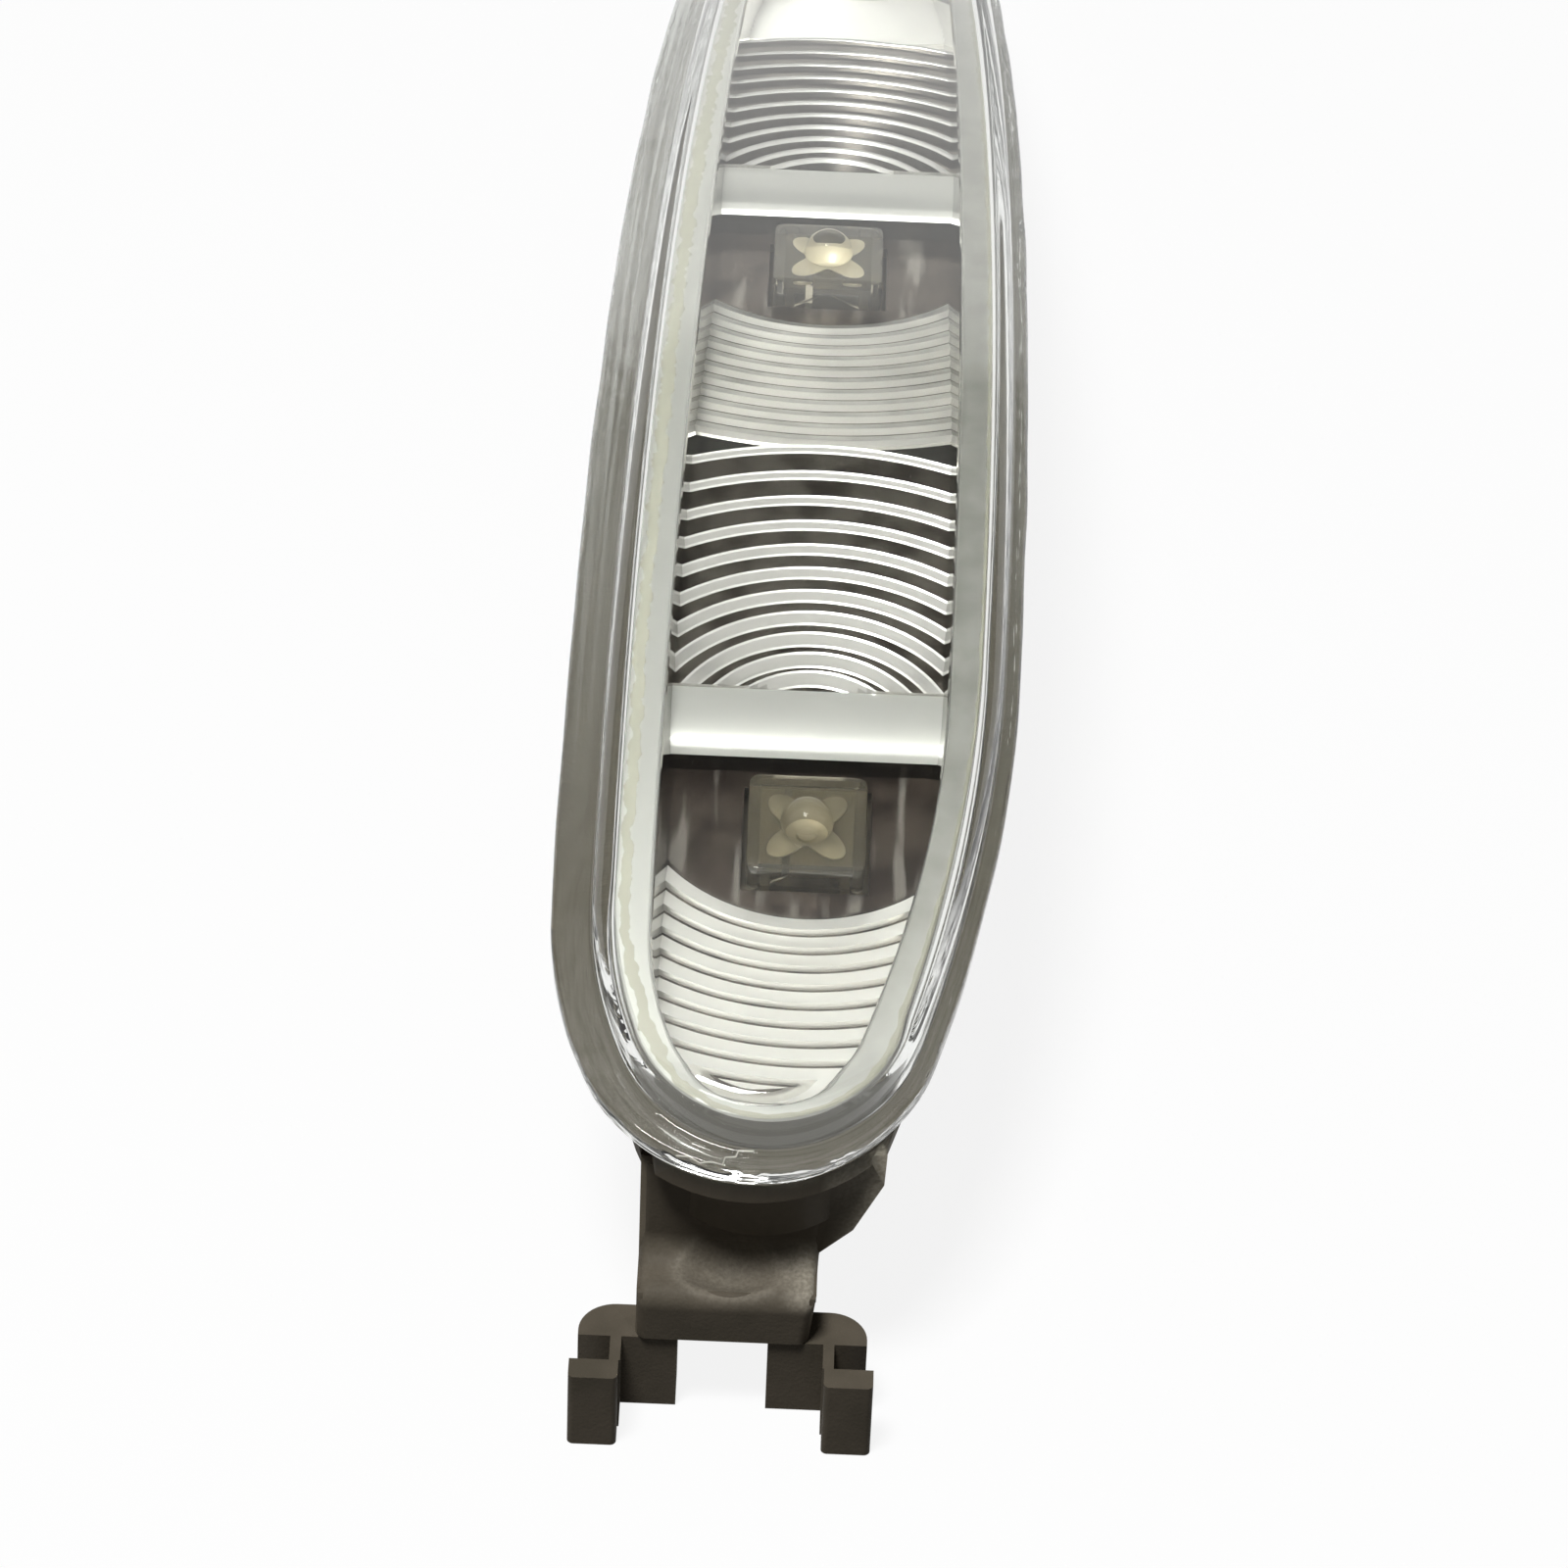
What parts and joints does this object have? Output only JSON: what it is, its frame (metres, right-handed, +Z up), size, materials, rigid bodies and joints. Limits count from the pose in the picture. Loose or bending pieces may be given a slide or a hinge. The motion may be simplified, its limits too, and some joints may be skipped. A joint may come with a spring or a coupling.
{
  "type": "side repeater lamp",
  "caption": "Curved LED side repeater lamp for a door mirror, with a clear lens over a stepped metallised reflector and a clip foot at one end.",
  "frame": {"origin": "middle of the footprint, at the height of the clip legs' ends", "axes": "+Y along the lamp away from the clip foot, +X across it, +Z up towards the lens"},
  "size_m": [0.03, 0.1676, 0.036],
  "materials": {
    "pmma_clear": "clear moulded",
    "abs_metallised": "vacuum metallised",
    "abs_dark": "fine matt moulded",
    "fr4": "solder mask",
    "clear_epoxy": "clear cast",
    "tinned_copper": "tinned",
    "black_epoxy": "matt",
    "tinned_brass": "tinned"
  },
  "bodies": {
    "root": {"lens": "pmma_clear", "reflector": "abs_metallised", "housing": "abs_dark", "circuit_board": "fr4", "diode": "black_epoxy", "led_near": "clear_epoxy", "led_middle": "clear_epoxy", "led_far": "clear_epoxy", "lead_frame_near": "tinned_copper", "lead_frame_middle": "tinned_copper", "lead_frame_far": "tinned_copper", "resistor_near": "black_epoxy", "resistor_far": "black_epoxy", "terminal_live": "tinned_brass", "terminal_earth": "tinned_brass"}
  },
  "joints": []
}
